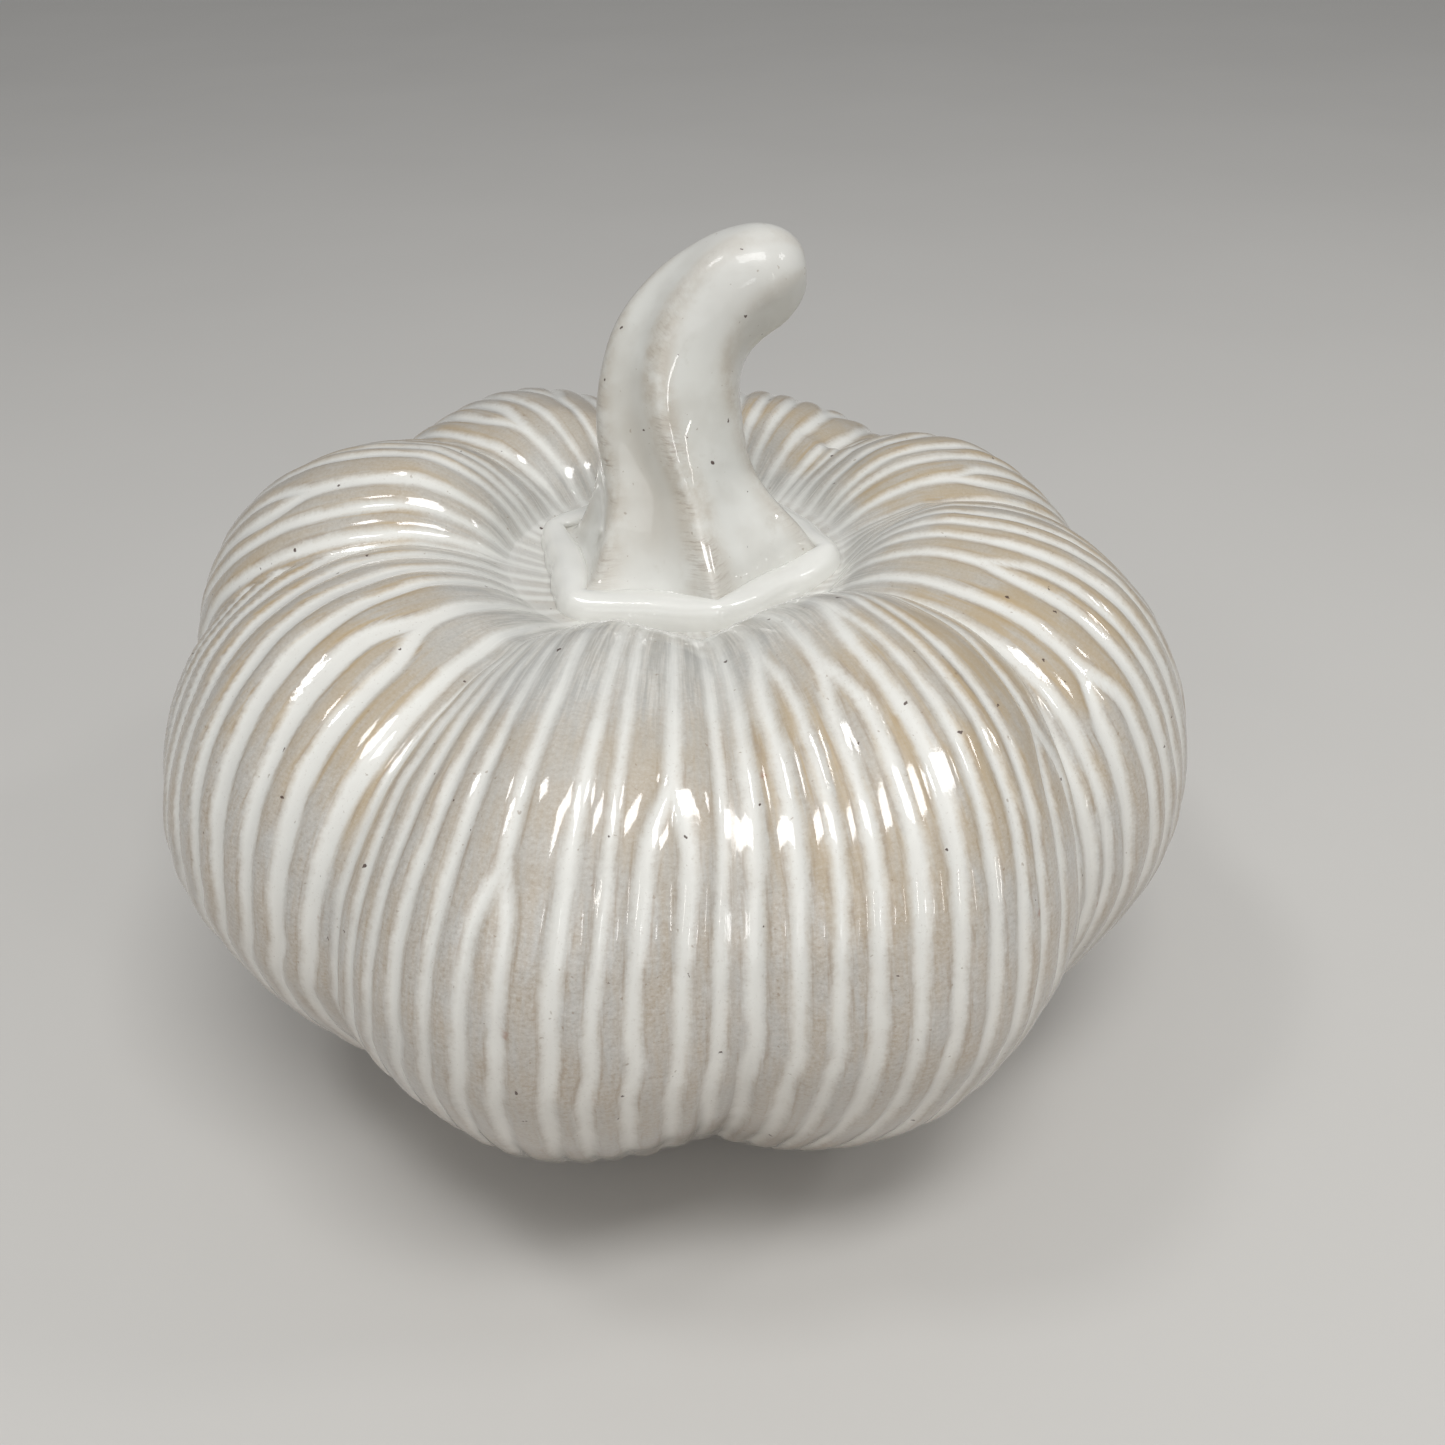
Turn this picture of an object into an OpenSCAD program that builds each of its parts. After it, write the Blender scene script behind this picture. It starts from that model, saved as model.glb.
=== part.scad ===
// A hollow glazed stoneware pumpkin with eight hand-shaped lobes.
// The stem is made apart, located in the crown by a spigot and luted on with a bead of slip.
// Millimetres, +Z up. The origin is the middle of the face that the pumpkin stands on,
// below the crown hole. The stem's tip leans to +X.

/* [Body] */
// Radius over the lobes at the belly
body_r = 90; // [85:1:95]
// Height of the lobe tops above the table
body_h = 94.5; // [90:0.5:98]
// Height of the belly, where the body is widest
belly_z = 54; // [50:1:58]
// Radius of the circle on which the lobes reach their tops
crest_r = 46; // [43:1:49]
// Depth of the creases between the lobes, at the belly
crease_d = 6; // [3:0.5:8]
// Depth of the creases between the lobes, at the lobe tops
crease_top_d = 5.2; // [3:0.2:7]
// Depth of the creases between the lobes, under the belly
crease_low_d = 5; // [2:0.5:7]
// Wall thickness
wall = 5; // [4:0.5:6]
// How far the lobes depart from eight equal ones
hand_made = 1; // [0:0.1:1]

/* [Crown] */
// Height of the flat seat in the crown
seat_z = 82; // [80:0.5:84]
// Radius of the flat seat in the crown
seat_r = 28; // [27:0.5:30]
// Diameter of the hole that takes the stem's spigot
crown_hole_d = 25; // [20:0.5:28]

/* [Foot] */
// Outer diameter of the unglazed foot ring
foot_d = 88; // [80:1:96]
// Width of the foot ring
foot_w = 7; // [5:0.5:9]
// Height of the hollow under the body, inside the foot ring
foot_h = 2.5; // [1.5:0.5:4]
// Diameter of the vent hole in the base
vent_d = 12; // [6:1:20]
// Thickness of the felt ring under the foot
felt_t = 1.5; // [1:0.5:3]

/* [Stem] */
// Radius of the stem's foot at its corners
stem_foot_r = 23; // [21:0.5:24]
// Height of the upright edge of the stem's foot
stem_edge_h = 2.5; // [1:0.5:3]
// Mean radius of the stem above its foot
stem_r = 12.75; // [11:0.25:14]
// Mean radius of the stem where it closes at the tip
tip_r = 6.6; // [5:0.2:8]
// Height over which the foot's corners run out
flare_h = 19.3; // [12:0.1:24]
// Height of the tip's end above the table
tip_z = 131.8; // [125:0.2:135]
// Reach of the tip's end from the pumpkin's axis
tip_x = 22.4; // [12:0.2:24]
// How far the stem leans back, towards +Y, on its way to the tip
lean_back = 10.5; // [0:0.5:14]
// How far the ridges wind round the stem on their way to the tip, in degrees
stem_twist = 90; // [0:5:120]
// Diameter of the bore up the stem, which lets air out in the kiln
stem_bore_d = 14; // [8:1:16]
// Length of the spigot below the stem's foot
spigot_l = 7; // [5:0.5:9]
// Gap between the spigot and the crown hole, all round
spigot_gap = 0.3; // [0.2:0.1:0.6]

/* [Slip collar] */
// Outer radius of the bead of slip, over the corners of the stem's foot
bead_r = 27.5; // [26:0.1:28.4]
// Height of the bead above the seat
bead_h = 5; // [3.6:0.2:5.4]

/* [Hidden] */

// Azimuths of the eight creases at the belly: an even spacing plus what the hand did
LOBES = 8;
first_crease = -86;
crease_shift = [-1, -8, 0, -4, 3, -4, -6, 4];
// How far each crease has drifted round by the time it reaches the lobe tops
crease_lean = [3, 9, 5, 4, 1, 4, 7, 3];
// How far all the creases have drifted back by the time they reach the table
low_lean = 5;
// Each lobe's reach and height against the nominal ones, starting past the first crease
lobe_reach = [0.04, -0.03, -0.08, -0.06, 0.06, 0.05, 0, 0.04];
lobe_rise = [0.02, 0.01, -0.02, -0.02, 0.01, 0.04, -0.02, 0.01];

// Roundness of the lobe across, and of the section's quarters (2 is an ellipse)
lobe_power = 1.65;
upper_power = 2.1;
lower_power = 1.5;
crown_power = 1.65;

// The corners of the five-sided stem foot, in order round the axis
SIDES = 5;
foot_corner_az = [-10, 74, 156, 221, 283];
// How far each of them reaches, and the bead of slip over it, as parts of stem_foot_r and bead_r
foot_reach = [1.04, 1, 1.05, 0.98, 0.95];
bead_reach = [1, 1, 1.005, 0.96, 0.88];
// How sharply the foot's corners stand out, against the stem's rounded ridges
corner_power = 2.6;
ridge_power = 1.8;
// Depth of the hollow sides, as a part of the radius: at the foot, then side by side along the
// stem, and how much of each one is left at the tip
foot_hollow = 0.235;
side_hollow = [0.17, 0.09, 0.09, 0.23, 0.07];
left_at_tip = [1.15, 0.4, 0.4, 0.05, 0.4];
// How far the ridges stand out past the mean radius, how fast the foot's flare runs out, and
// how late the stem thins to its tip
ridge_out = 1.04;
flare_power = 1.85;
taper_power = 3.2;
// Where along the stem, as a part of its length, the ridges begin to wind
twist_start = 0.35;
twist_power = 1.15;
// Where along the stem the rounded tip begins, and how blunt it is (2 is an ellipse)
tip_start = 0.912;
tip_power = 2.45;
// How far the stem rises before it bends, and how it leans back before it curls
stem_foot_x = 1.2;
stem_rise = [1.2, 5.2];
stem_back = -10.2;
stem_droop = 2.8;
// Where along the stem it begins and stops leaning back, how much of the lean it loses in
// height, and how much thicker it is for each millimetre of lean
lean_start = 0.05;
lean_end = 0.77;
lean_drop = 0.3;
lean_swell = 0.004;
// The bead: how far it draws in along the sides, and the shape of its top
bead_hollow = 0.16;
bead_shoulder = 0.62;

under_z = felt_t + foot_h;
foot_ri = foot_d / 2 - foot_w;
// How far joined shapes run into each other, the bead's clearance from the stem's foot,
// and the extra length of a cut that has to break through a face
embed = 2;
bead_gap = 0.1;
eps = 0.01;
stem_start = [stem_foot_x, seat_z + stem_edge_h];
stem_bore_top = seat_z + 10;
felt_margin = 0.5;
// The crown is thicker than the wall by this much, to carry the stem
crown_extra = 1;

// Fineness: columns in each lobe outside and inside, rows in each quarter of the section,
// columns in each side of the stem, rings along it and over its tip, steps round the bead,
// and round holes
outer_fine = 12;
inner_fine = 6;
outer_rows = 10;
inner_rows = 6;
side_steps = 10;
path_steps = 24;
tip_steps = 5;
bead_steps = 7;
round_fn = 96;

function wrap(i, n) = (i % n + n) % n;
function crease_az(k) = first_crease + 360 / LOBES * k
    + hand_made * crease_shift[wrap(k, LOBES)];
function lean(k) = hand_made * crease_lean[wrap(k, LOBES)];
function power(x, p) = sign(x) * pow(abs(x), p);
function mix(a, b, t) = a + (b - a) * t;

// ---- body ----------------------------------------------------------------

// A lobe's own value at its middle, shared with its neighbour at the crease
function shared(values, k, t, s) = mix(values[k],
    (values[k] + values[wrap(t < 0.5 ? k - 1 : k + 1, LOBES)]) / 2, s);

// One point of the body. k is the lobe, t runs across it from 0 to 1, and a is the angle
// round the section: -90 the underside, 0 the belly, 90 the lobe top, 180 the seat.
function lobe_point(k, t, a, inset) =
    let (
        s = pow(abs(2 * t - 1), lobe_power),
        reach = body_r * (1 + hand_made * shared(lobe_reach, k, t, s)) - inset - crease_d * s,
        top = body_h * (1 + hand_made * shared(lobe_rise, k, t, s)) - inset - crease_top_d * s,
        low = under_z + inset,
        seat = inset > 0 ? seat_z - inset - crown_extra : seat_z,
        p = 2 / (a < 0 ? lower_power : a <= 90 ? upper_power : crown_power),
        c = power(cos(a), p),
        v = abs(power(sin(a), p)),
        r = crest_r + c * (a <= 90 ? reach - crest_r : crest_r - seat_r),
        z = a == -90 ? low
            : a < 0 ? max(low, belly_z - v * (belly_z - inset - crease_low_d * s))
            : a <= 90 ? belly_z + v * (top - belly_z)
            : seat + v * (top - seat),
        up = max(0, (z - belly_z) / (body_h - belly_z)),
        down = max(0, 1 - z / belly_z),
        az = mix(crease_az(k), crease_az(k + 1), t)
            + mix(lean(k), lean(k + 1), t) * up * up - hand_made * low_lean * pow(down, 1.5)
    )
    [r * cos(az), r * sin(az), z];

function section_angles(steps) = [
    for (i = [0 : steps - 1]) -90 + 90 * i / steps,
    for (i = [0 : steps - 1]) 90 * i / steps,
    for (i = [0 : steps / 2]) 90 + 90 * i / (steps / 2)
];

// Triangles between rows of m points, with the first and last rows closed flat
function tube_faces(rows, m) = concat(
    [[for (j = [0 : m - 1]) j]],
    [for (i = [0 : rows - 2]) for (j = [0 : m - 1]) each
        let (a = i * m + j, b = i * m + (j + 1) % m)
        [[a, a + m, b], [b, a + m, b + m]]],
    [[for (j = [m - 1 : -1 : 0]) (rows - 1) * m + j]]
);

module lobed_solid(inset, fine, steps) {
    angles = section_angles(steps);
    points = [for (a = angles) for (k = [0 : LOBES - 1]) for (j = [0 : fine - 1])
        lobe_point(k, j / fine, a, inset)];
    polyhedron(points, tube_faces(len(angles), LOBES * fine), convexity = 8);
}

module body_shell() {
    color([0.83, 0.80, 0.75])
    difference() {
        union() {
            lobed_solid(0, outer_fine, outer_rows);
            translate([0, 0, felt_t])
                cylinder(r = foot_d / 2, h = foot_h + embed, $fn = round_fn);
        }
        translate([0, 0, felt_t - eps])
            cylinder(r = foot_ri, h = foot_h + eps, $fn = round_fn);
        lobed_solid(wall, inner_fine, inner_rows);
        translate([0, 0, seat_z - 2 * wall - embed])
            cylinder(d = crown_hole_d, h = 2 * wall + 2 * embed, $fn = round_fn);
        translate([0, 0, felt_t])
            cylinder(d = vent_d, h = foot_h + wall + embed, $fn = round_fn);
    }
}

// ---- stem ----------------------------------------------------------------

// Distance of the five-sided outline from its middle. t runs from 0 at one corner to 1 at the
// next, corner is the radius there, and hollow is how deep the side between them sinks in.
function outline_r(t, corner, hollow, p) = corner * (1 - hollow * (1 - pow(abs(2 * t - 1), p)));
function between_corners(values, side, t) = mix(values[side], values[(side + 1) % SIDES], t);
function side_az(side, t) = mix(foot_corner_az[side],
    foot_corner_az[(side + 1) % SIDES] + (side == SIDES - 1 ? 360 : 0), t);

// The stem's centre line above its foot, a Bezier curve that starts almost upright
stem_path = [
    stem_start,
    stem_start + stem_rise,
    [stem_back, tip_z - stem_droop],
    [tip_x, tip_z]
];
function bezier(p, t) = pow(1 - t, 3) * p[0] + 3 * pow(1 - t, 2) * t * p[1]
    + 3 * (1 - t) * t * t * p[2] + pow(t, 3) * p[3];
function unit(v) = v / norm(v);
function bezier_dir(p, t) = unit(3 * pow(1 - t, 2) * (p[1] - p[0])
    + 6 * (1 - t) * t * (p[2] - p[1]) + 3 * t * t * (p[3] - p[2]));
function clamp(x) = min(1, max(0, x));
function smooth(x) = let (c = clamp(x)) c * c * (3 - 2 * c);

// How much of the foot's flare is left at a height
function run_out(z) = pow(clamp(1 - (z - stem_start[1]) / flare_h), flare_power);

// Distance of the stem's surface from its centre line, for a mean radius
function stem_q(side, t, r, flare) =
    let (
        calm = mix(left_at_tip[side], 1, pow(clamp((r - tip_r) / (stem_r - tip_r)), 1.3)),
        hollow = mix(side_hollow[side] * calm, foot_hollow, sqrt(flare))
    )
    outline_r(t, mix(r * ridge_out, stem_foot_r * between_corners(foot_reach, side, t), flare), hollow,
        mix(ridge_power, corner_power, flare));

// One ring of the stem, square to the centre line above the foot. The ridges wind round on
// the way up, and the rings shrink to nothing over the tip.
function stem_ring(t) =
    let (
        c = bezier(stem_path, t),
        d = mix([0, 1], bezier_dir(stem_path, t), smooth(t / 0.14)),
        back = lean_back * smooth((t - lean_start) / (lean_end - lean_start)),
        r = mix(stem_r, tip_r, pow(t, taper_power)) * (1 + lean_swell * back),
        over = clamp((t - tip_start) / (1 - tip_start)),
        closing = pow(1 - pow(over, tip_power), 1 / tip_power),
        turn = -stem_twist * pow(clamp((t - twist_start) / (1 - twist_start)), twist_power)
    )
    [for (side = [0 : SIDES - 1]) for (j = [0 : side_steps - 1])
        let (
            az = side_az(side, j / side_steps) + turn,
            q = closing * stem_q(side, j / side_steps, r, run_out(c[1]))
        )
        [c[0] + q * cos(az) * d[1], q * sin(az) + back, c[1] - q * cos(az) * d[0] - lean_drop * back]];

function foot_ring(z) = [for (q = stem_ring(0)) [q[0], q[1], z]];

module stem() {
    rings = concat(
        [foot_ring(seat_z)],
        [for (i = [0 : path_steps]) stem_ring(tip_start * i / path_steps)],
        [for (i = [1 : tip_steps]) stem_ring(mix(tip_start, 1, sin(84 * i / tip_steps)))]
    );
    color([0.86, 0.84, 0.80])
    difference() {
        union() {
            polyhedron([for (ring = rings) each ring],
                tube_faces(len(rings), SIDES * side_steps), convexity = 4);
            translate([0, 0, seat_z - spigot_l])
                cylinder(r = crown_hole_d / 2 - spigot_gap, h = spigot_l + embed / 2, $fn = round_fn);
        }
        translate([0, 0, seat_z - spigot_l - eps])
            cylinder(d = stem_bore_d, h = stem_bore_top - seat_z + spigot_l, $fn = round_fn);
    }
}

// ---- slip collar ---------------------------------------------------------

// The bead's section as parts of its width and height: up the inside against the stem's
// foot, over the top and down the outside
bead_section = concat(
    [[0, 0], [0, bead_shoulder]],
    [for (i = [1 : bead_steps]) let (a = 158 * i / bead_steps)
        [0.5 - 0.5 * cos(a), a < 90 ? mix(bead_shoulder, 1, sin(a)) : pow(sin(a), 0.75)]],
    [[1, 0.3], [1, 0]]
);

module slip_collar() {
    m = len(bead_section);
    n = SIDES * side_steps;
    points = [for (side = [0 : SIDES - 1]) for (j = [0 : side_steps - 1]) for (p = bead_section)
        let (
            t = j / side_steps,
            az = side_az(side, t),
            inside = stem_q(side, t, stem_r, run_out(seat_z + p[1] * bead_h)) + bead_gap,
            reach = bead_r * between_corners(bead_reach, side, t),
            r = mix(inside, outline_r(t, reach, bead_hollow, ridge_power), p[0])
        )
        [stem_foot_x + r * cos(az), r * sin(az), seat_z + p[1] * bead_h]];
    faces = [for (i = [0 : n - 1]) for (j = [0 : m - 1]) each
        let (a = i * m + j, b = i * m + (j + 1) % m,
             c = ((i + 1) % n) * m + j, d = ((i + 1) % n) * m + (j + 1) % m)
        [[a, c, b], [b, c, d]]];
    color([0.93, 0.92, 0.90])
    polyhedron(points, faces, convexity = 6);
}

// ---- felt ring -----------------------------------------------------------

module felt_ring() {
    color([0.55, 0.50, 0.44])
    difference() {
        cylinder(r = foot_d / 2 - felt_margin, h = felt_t, $fn = round_fn);
        translate([0, 0, -eps])
            cylinder(r = foot_ri + felt_margin, h = felt_t + 2 * eps, $fn = round_fn);
    }
}

body_shell();
stem();
slip_collar();
felt_ring();
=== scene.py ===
"""A glazed stoneware pumpkin ornament: lobed body with carved, white-filled grooves, curved
five-sided stem, a bead of slip round the stem's foot, and a felt ring under the body.

Shapes are worked out in millimetres as numpy grids and turned into meshes in metres. Azimuth 0
is +X and -90 faces the camera. A lobe is numbered from the first crease, and t runs across it
from 0 at one crease to 1 at the next. The section angle a runs from -90 under the body, over 0
at the belly and 90 at the lobe's top, to 180 at the seat in the crown.
"""
import math
from types import SimpleNamespace

import bpy
import numpy as np
from mathutils import Matrix, Vector


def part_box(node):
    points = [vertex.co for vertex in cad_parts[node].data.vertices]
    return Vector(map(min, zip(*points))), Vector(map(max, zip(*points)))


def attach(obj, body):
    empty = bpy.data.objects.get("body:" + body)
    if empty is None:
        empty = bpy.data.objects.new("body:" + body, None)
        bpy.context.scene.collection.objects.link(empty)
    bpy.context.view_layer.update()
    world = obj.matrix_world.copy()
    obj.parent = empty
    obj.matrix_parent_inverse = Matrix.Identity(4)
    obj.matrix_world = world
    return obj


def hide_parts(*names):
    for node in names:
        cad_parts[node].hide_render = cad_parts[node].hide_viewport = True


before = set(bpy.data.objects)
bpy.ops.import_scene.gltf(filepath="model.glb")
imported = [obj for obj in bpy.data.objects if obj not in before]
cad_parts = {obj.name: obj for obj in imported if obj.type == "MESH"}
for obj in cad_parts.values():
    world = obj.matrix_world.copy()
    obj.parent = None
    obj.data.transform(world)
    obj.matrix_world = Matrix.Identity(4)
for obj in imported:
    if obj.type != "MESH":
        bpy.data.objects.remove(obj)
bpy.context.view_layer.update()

MM = 0.001


# ---- sizes taken from the CAD model --------------------------------------

def cad_box(node):
    """Lowest and highest corner of a CAD node, in millimetres."""
    low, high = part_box(node)
    return np.array(low) / MM, np.array(high) / MM


def cad_points(node):
    """The vertices of a CAD node, in millimetres."""
    return np.array([v.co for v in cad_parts[node].data.vertices]) / MM


# The lobes' unevenness, as the CAD model has it
LOBES = 8
FIRST_CREASE = -86.0
CREASE_SHIFT = np.array([-1, -8, 0, -4, 3, -4, -6, 4], float)
CREASE_LEAN = np.array([3, 9, 5, 4, 1, 4, 7, 3], float)
LOBE_REACH = np.array([0.04, -0.03, -0.08, -0.06, 0.06, 0.05, 0, 0.04])
LOBE_RISE = np.array([0.02, 0.01, -0.02, -0.02, 0.01, 0.04, -0.02, 0.01])
LOBE_POWER, UPPER_POWER, LOWER_POWER, CROWN_POWER = 1.65, 2.1, 1.5, 1.65
CREASE_D, CREASE_TOP_D, CREASE_LOW_D = 6.0, 5.2, 5.0
LOW_LEAN = 5.0
WALL = 5.0
CROWN_EXTRA = 1.0

body_points = cad_points("body_shell")
body_low, body_high = cad_box("body_shell")

BODY_R = np.hypot(body_points[:, 0], body_points[:, 1]).max() / (1 + LOBE_REACH.max())
BODY_H = body_high[2] / (1 + LOBE_RISE.max())
BELLY_Z = 54.0
CREST_R = 46.0
SEAT_Z = cad_box("slip_collar")[0][2]
SEAT_R = 28.0
FOOT_Z = body_low[2]
FOOT_H = 2.5
UNDER_Z = FOOT_Z + FOOT_H
UNDER_ROUNDING = 1.2
FOOT_RO, FOOT_RI = 44.0, 37.0
CROWN_HOLE_R, VENT_R = 12.5, 6.0


# ---- small numeric helpers -----------------------------------------------

def mix(a, b, t):
    return a + (b - a) * t


def smoothstep(low, high, x):
    t = np.clip((x - low) / (high - low), 0, 1)
    return t * t * (3 - 2 * t)


def soft_max(a, b, width):
    """The larger of a and b, rounded where they cross."""
    return b + width * np.logaddexp(0, (a - b) / width)


def power(x, p):
    return np.sign(x) * np.abs(x) ** p


def waves(points, length, count, seed):
    """Smooth lumpy noise of about -1 to 1: plane waves of a given length in random directions."""
    random = np.random.default_rng(seed)
    directions = random.normal(size=(count, 3))
    directions /= np.linalg.norm(directions, axis=1)[:, None]
    lengths = length * random.uniform(0.7, 1.6, count)
    phases = random.uniform(0, 2 * math.pi, count)
    total = np.zeros(points.shape[:-1])
    for direction, size, phase in zip(directions, lengths, phases):
        total += np.sin(points @ direction * (2 * math.pi / size) + phase)
    return total / math.sqrt(count)


def grid_normals(points):
    """Unit normals of a grid of rows x columns x 3 whose columns run round."""
    across = np.roll(points, -1, 1) - np.roll(points, 1, 1)
    normals = np.cross(across, np.gradient(points, axis=0))
    return normals / np.maximum(np.linalg.norm(normals, axis=2), 1e-9)[..., None]


# ---- meshes from grids ---------------------------------------------------

def grid_faces(rows, columns, wrap_rows):
    i, j = np.meshgrid(np.arange(rows if wrap_rows else rows - 1), np.arange(columns), indexing="ij")
    k, right = (i + 1) % rows, (j + 1) % columns
    quads = [i * columns + j, i * columns + right, k * columns + right, k * columns + j]
    return np.stack(quads, -1).reshape(-1, 4)


def grid_object(name, points, wrap_rows, caps=()):
    """A smooth-shaded closed mesh from a grid in millimetres. caps are the (first, last) end
    points, in millimetres, that close a grid whose rows don't run round."""
    rows, columns = points.shape[:2]
    vertices = [points.reshape(-1, 3)]
    faces = grid_faces(rows, columns, wrap_rows).tolist()
    if caps:
        first, last = rows * columns, rows * columns + 1
        vertices.append(np.array(caps, float))
        ring = range(columns)
        faces += [(first, (j + 1) % columns, j) for j in ring]
        start = (rows - 1) * columns
        faces += [(last, start + j, start + (j + 1) % columns) for j in ring]
    mesh = bpy.data.meshes.new(name)
    mesh.from_pydata((np.concatenate(vertices) * MM).tolist(), [], faces)
    mesh.polygons.foreach_set("use_smooth", [True] * len(mesh.polygons))
    piece = bpy.data.objects.new(name, mesh)
    bpy.context.scene.collection.objects.link(piece)
    return piece


def store_vector(piece, name, x, y, z):
    """A per-vertex vector that the material reads. Cap vertices repeat the nearest row."""
    values = np.stack([x, y, z], -1).reshape(-1, 3)
    short = len(piece.data.vertices) - len(values)
    if short:
        values = np.concatenate([values, values[:1], values[-1:]])
    layer = piece.data.attributes.new(name, "FLOAT_VECTOR", "POINT")
    layer.data.foreach_set("vector", values.astype(np.float32).ravel())


def store_number(piece, name, values):
    """A per-vertex number that the material reads."""
    layer = piece.data.attributes.new(name, "FLOAT", "POINT")
    layer.data.foreach_set("value", values.astype(np.float32).ravel())


# ---- body: the lobed form ------------------------------------------------

COLUMNS_PER_LOBE = 88
OUTER_ROWS = 108
INNER_ROWS = 9
SEAT_ROWS = 7

crease_az = FIRST_CREASE + 360 / LOBES * np.arange(LOBES + 1) + np.append(CREASE_SHIFT, CREASE_SHIFT[0])
crease_lean = np.append(CREASE_LEAN, CREASE_LEAN[0])
lobe_width = np.radians(np.diff(crease_az))

column_lobe = np.repeat(np.arange(LOBES), COLUMNS_PER_LOBE)
column_t = np.tile(np.arange(COLUMNS_PER_LOBE) / COLUMNS_PER_LOBE, LOBES)


def shared(values, crease):
    """A lobe's own value at its middle, shared with its neighbour at the crease."""
    near = (column_lobe + np.where(column_t < 0.5, -1, 1)) % LOBES
    own = values[column_lobe]
    return mix(own, (own + values[near]) / 2, crease)


def section_curve(angles):
    """How far out and up the section's curve is at each angle, as parts of its reach and height."""
    exponent = 2 / np.where(angles < 0, LOWER_POWER, np.where(angles <= 90, UPPER_POWER, CROWN_POWER))
    out = power(np.cos(np.radians(angles)), exponent)
    up = np.abs(np.sin(np.radians(angles))) ** exponent
    return out, up


def body_surface(angles, inset):
    """(radius, azimuth in radians, height) for every section angle and column."""
    crease = np.abs(2 * column_t - 1) ** LOBE_POWER
    reach = BODY_R * (1 + shared(LOBE_REACH, crease)) - inset - CREASE_D * crease
    top = BODY_H * (1 + shared(LOBE_RISE, crease)) - inset - CREASE_TOP_D * crease
    seat = SEAT_Z - (inset + CROWN_EXTRA if inset else 0)
    a = np.asarray(angles, float)[:, None]
    out, up = section_curve(a)
    r = CREST_R + out * np.where(a <= 90, reach - CREST_R, CREST_R - SEAT_R)
    low = BELLY_Z - up * (BELLY_Z - inset - CREASE_LOW_D * crease)
    low = soft_max(low, UNDER_Z + inset, UNDER_ROUNDING)
    z = np.where(a < 0, low, np.where(a <= 90, BELLY_Z + up * (top - BELLY_Z), seat + up * (top - seat)))
    above = np.maximum(0, (z - BELLY_Z) / (BODY_H - BELLY_Z))
    below = np.maximum(0, 1 - z / BELLY_Z)
    az = mix(crease_az[column_lobe], crease_az[column_lobe + 1], column_t)
    az = az + mix(crease_lean[column_lobe], crease_lean[column_lobe + 1], column_t) * above ** 2
    return r, np.radians(az - LOW_LEAN * below ** 1.5), z


def nominal_section(angles):
    """Radius and height of an even lobe's middle, for measuring along the section."""
    a = np.asarray(angles, float)
    out, up = section_curve(a)
    r = CREST_R + out * np.where(a <= 90, BODY_R - CREST_R, CREST_R - SEAT_R)
    upper = np.where(a <= 90, BELLY_Z + up * (BODY_H - BELLY_Z), SEAT_Z + up * (BODY_H - SEAT_Z))
    return r, np.where(a < 0, BELLY_Z * (1 - up), upper)


def even_angles(count):
    """Section angles at even steps along the section, and the length along it in millimetres."""
    fine = np.linspace(-90, 180, 5401)
    r, z = nominal_section(fine)
    length = np.concatenate([[0], np.cumsum(np.hypot(np.diff(r), np.diff(z)))])
    along = np.linspace(0, length[-1], count)
    return np.interp(along, length, fine), along


def cylinder_rows(radii, heights, azimuth):
    """Plain round rows that share the body's columns."""
    r = np.array(radii, float)[:, None] + 0 * azimuth
    z = np.array(heights, float)[:, None] + 0 * azimuth
    return np.stack([r * np.cos(azimuth), r * np.sin(azimuth), z], -1)


# ---- body: the carved grooves --------------------------------------------

# Where each lobe's grooves cross the belly, as parts of the lobe's width. The front lobes' were
# cut unevenly; the others are spaced by count.
GROOVES = [
    [0.04, 0.13, 0.215, 0.295, 0.385, 0.47, 0.56, 0.65, 0.725, 0.83, 0.96],
    [0.03, 0.08, 0.15, 0.24, 0.315, 0.39, 0.465, 0.55, 0.63, 0.71, 0.79, 0.87, 0.95],
    10,
    12,
    10,
    11,
    13,
    [0.04, 0.115, 0.19, 0.275, 0.36, 0.44, 0.52, 0.625, 0.705, 0.79, 0.885, 0.965],
]
# Where two grooves run together going up: lobe, the first of the pair, and millimetres along
FORKS = [
    (0, 1, 140), (0, 3, 133), (0, 5, 143), (0, 9, 112),
    (1, 2, 112), (1, 4, 136), (1, 9, 128),
    (2, 2, 137), (2, 6, 124),
    (3, 3, 128), (3, 8, 141),
    (4, 4, 134), (4, 7, 144),
    (5, 2, 138), (5, 7, 126),
    (6, 10, 139),
    (7, 5, 107), (7, 9, 118),
]
FORK_LENGTH = 13
# How far a lobe's grooves swing towards its first crease on the way up, as a part of the lobe
SWING = [0.0, 0.08, 0.2, 0.25, 0.25, 0.3, 1.05, 0.06]
# How much further the ones in its middle swing
BOW = [0.05, 0.05, 0.0, 0.0, 0.0, 0.0, 0.0, 0.02]
# Below this the grooves kink a little, where two strokes of the tool meet
KINK_AT, KINK = 79.0, 0.02
# Where the pooled white glaze starts to cover the grooves, in millimetres along
POOL_START = [141, 149, 154, 155, 156, 154, 149, 127]
# How much of each lobe's width the white bands take
WHITE_SHARE = [0.4, 0.44, 0.44, 0.44, 0.44, 0.45, 0.44, 0.41]
GROOVE_DEPTH = 0.56
# The groove's wall lies between these distances from the white band's edge
EDGE_IN, EDGE_OUT = -0.9, 0.9


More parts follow.
